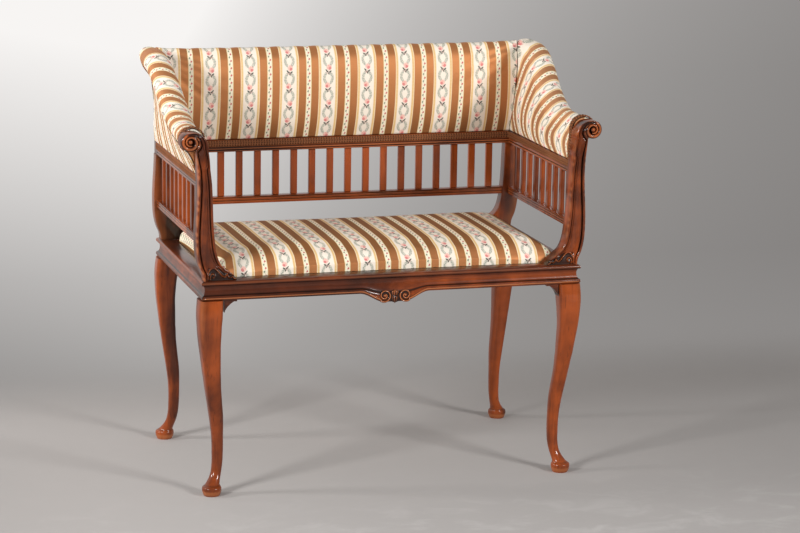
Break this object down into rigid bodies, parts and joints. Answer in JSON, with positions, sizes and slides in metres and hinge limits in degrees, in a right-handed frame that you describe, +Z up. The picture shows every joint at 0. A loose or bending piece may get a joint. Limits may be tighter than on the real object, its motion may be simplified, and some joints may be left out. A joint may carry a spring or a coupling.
{
  "type": "settee",
  "caption": "Small hall settee with cabriole legs, slatted back and sides, a padded back and rolled arms in striped cloth, and a drop-in seat.",
  "frame": {"origin": "middle of the footprint, on the floor under the four feet", "axes": "+X along the seat, to the right of someone looking at the front; +Y towards the back; +Z up"},
  "size_m": [0.8618, 0.4758, 0.8412],
  "materials": {
    "mahogany": "polished reddish brown mahogany, worn at the edges",
    "inner_wood": "plain sawn beech, unpolished",
    "striped_cover": "satin stripe of copper brown, gold and cream with flower garlands",
    "braid": "copper brown woven braid",
    "webbing": "jute webbing"
  },
  "bodies": {
    "frame": {"back_left_corner_block": "inner_wood", "back_left_leg": "mahogany", "back_lower_rail": "mahogany", "back_outer_braid": "braid", "back_outside_cover": "striped_cover", "back_pad": "striped_cover", "back_right_corner_block": "inner_wood", "back_right_leg": "mahogany", "back_seat_rail": "mahogany", "back_slat_01": "mahogany", "back_slat_02": "mahogany", "back_slat_03": "mahogany", "back_slat_04": "mahogany", "back_slat_05": "mahogany", "back_slat_06": "mahogany", "back_slat_07": "mahogany", "back_slat_08": "mahogany", "back_slat_09": "mahogany", "back_slat_10": "mahogany", "back_slat_11": "mahogany", "back_slat_12": "mahogany", "back_slat_13": "mahogany", "back_slat_14": "mahogany", "back_slat_15": "mahogany", "back_slat_16": "mahogany", "back_slat_17": "mahogany", "back_slat_18": "mahogany", "back_upper_rail": "mahogany", "crest_rail": "inner_wood", "front_left_corner_block": "inner_wood", "front_left_ear": "mahogany", "front_left_leg": "mahogany", "front_left_post": "mahogany", "front_right_corner_block": "inner_wood", "front_right_ear": "mahogany", "front_right_leg": "mahogany", "front_right_post": "mahogany", "front_seat_rail": "mahogany", "inner_braid": "braid", "left_arm_front_braid": "braid", "left_arm_outside_cover": "striped_cover", "left_arm_pad": "striped_cover", "left_arm_rail": "inner_wood", "left_lower_rail": "mahogany", "left_outer_braid": "braid", "left_seat_rail": "mahogany", "left_upper_rail": "mahogany", "rear_left_post": "mahogany", "rear_right_post": "mahogany", "right_arm_front_braid": "braid", "right_arm_outside_cover": "striped_cover", "right_arm_pad": "striped_cover", "right_arm_rail": "inner_wood", "right_lower_rail": "mahogany", "right_outer_braid": "braid", "right_seat_rail": "mahogany", "right_upper_rail": "mahogany"},
    "seat": {"slip_seat_frame": "inner_wood", "seat_webbing": "webbing", "seat_cushion": "striped_cover"}
  },
  "joints": [
    {"name": "seat_lift", "type": "slide", "parent": "frame", "child": "seat", "axis": [0, 0, 1], "range_m": [0, 0.12]}
  ]
}
